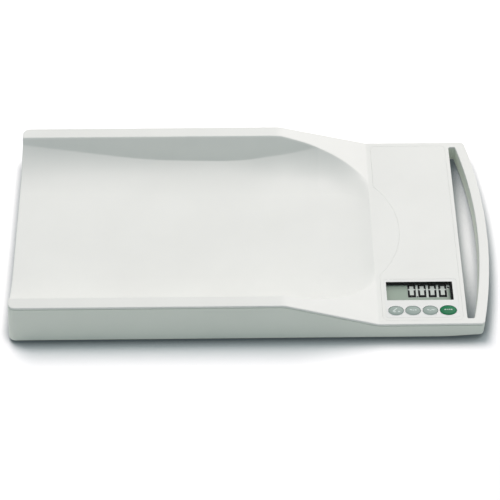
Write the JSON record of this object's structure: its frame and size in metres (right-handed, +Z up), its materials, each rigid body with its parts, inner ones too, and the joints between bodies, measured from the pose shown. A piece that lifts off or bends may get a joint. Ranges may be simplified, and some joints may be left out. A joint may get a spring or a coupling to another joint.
{
  "type": "digital baby weighing scale",
  "caption": "Low white plastic baby scale: open-ended weighing trough, ramp down to a console with a display and oval keys, and a carrying grip at the end.",
  "frame": {"origin": "centre of the bounding box, on the surface the feet stand on", "axes": "+X from the open end of the trough to the carrying grip, +Y from the key side to the far side, +Z up"},
  "size_m": [0.5997, 0.3024, 0.0645],
  "materials": {
    "housing_white": "fine satin texture",
    "housing_grey": "fine satin texture",
    "film": "thin satin polyester film",
    "window": "clear",
    "frame_black": "black",
    "lcd": "grey-green LCD with dark digits",
    "elastomer": "soft strip",
    "board": "green solder resist",
    "chips": "moulded",
    "capacitors": "sleeved can",
    "screws": "zinc plated",
    "switches": "moulded",
    "connectors": "natural nylon",
    "gauges": "foil on polyimide",
    "cells": "sleeved battery",
    "contacts": "nickel plated spring strip",
    "label": "blank",
    "key_green": "moulded, domed",
    "key_grey": "moulded, domed",
    "plunger": "moulded",
    "cell_steel": "stamped",
    "foot_cup": "moulded",
    "foot_pad": "soft",
    "lead": "round jacket"
  },
  "bodies": {
    "housing": {"base_shell": "housing_grey", "battery_cells": "cells", "battery_contacts": "contacts", "board_capacitors": "capacitors", "board_chips": "chips", "board_screws": "screws", "circuit_board": "board", "console_cover": "housing_white", "display_frame": "frame_black", "display_window": "window", "foot_cup_back_left": "foot_cup", "foot_cup_back_right": "foot_cup", "foot_cup_front_left": "foot_cup", "foot_cup_front_right": "foot_cup", "foot_pad_back_left": "foot_pad", "foot_pad_back_right": "foot_pad", "foot_pad_front_left": "foot_pad", "foot_pad_front_right": "foot_pad", "housing_screws": "screws", "key_switches": "switches", "keypad_film": "film", "lcd_connector_strips": "elastomer", "lcd_glass": "lcd", "lead_back_left": "lead", "lead_back_right": "lead", "lead_battery": "lead", "lead_connectors": "connectors", "lead_front_left": "lead", "lead_front_right": "lead", "load_cell_back_left": "cell_steel", "load_cell_back_right": "cell_steel", "load_cell_front_left": "cell_steel", "load_cell_front_right": "cell_steel", "load_cell_screws": "screws", "rating_label": "label", "strain_gauges": "gauges", "tray_shell": "housing_white"},
    "start_key": {"start_key": "key_green", "start_plunger": "plunger"},
    "grey_key_left": {"grey_key_left": "key_grey", "grey_left_plunger": "plunger"},
    "grey_key_middle": {"grey_key_middle": "key_grey", "grey_middle_plunger": "plunger"},
    "grey_key_right": {"grey_key_right": "key_grey", "grey_right_plunger": "plunger"},
    "battery_door": {"battery_door": "housing_grey"}
  },
  "joints": [
    {"name": "start_key_press", "type": "slide", "parent": "housing", "child": "start_key", "axis": [0, 0, -1], "range_m": [0, 0.0008], "stiffness_N_per_m": 1500, "springref_m": -0.0004},
    {"name": "grey_key_left_press", "type": "slide", "parent": "housing", "child": "grey_key_left", "axis": [0, 0, -1], "range_m": [0, 0.0008], "stiffness_N_per_m": 1500, "springref_m": -0.0004},
    {"name": "grey_key_middle_press", "type": "slide", "parent": "housing", "child": "grey_key_middle", "axis": [0, 0, -1], "range_m": [0, 0.0008], "stiffness_N_per_m": 1500, "springref_m": -0.0004},
    {"name": "grey_key_right_press", "type": "slide", "parent": "housing", "child": "grey_key_right", "axis": [0, 0, -1], "range_m": [0, 0.0008], "stiffness_N_per_m": 1500, "springref_m": -0.0004},
    {"name": "battery_door_tilt", "type": "hinge", "parent": "housing", "child": "battery_door", "pos_m": [0.21, -0.05135, 0.003], "axis": [-1, 0, 0], "range_deg": [0, 35]}
  ]
}
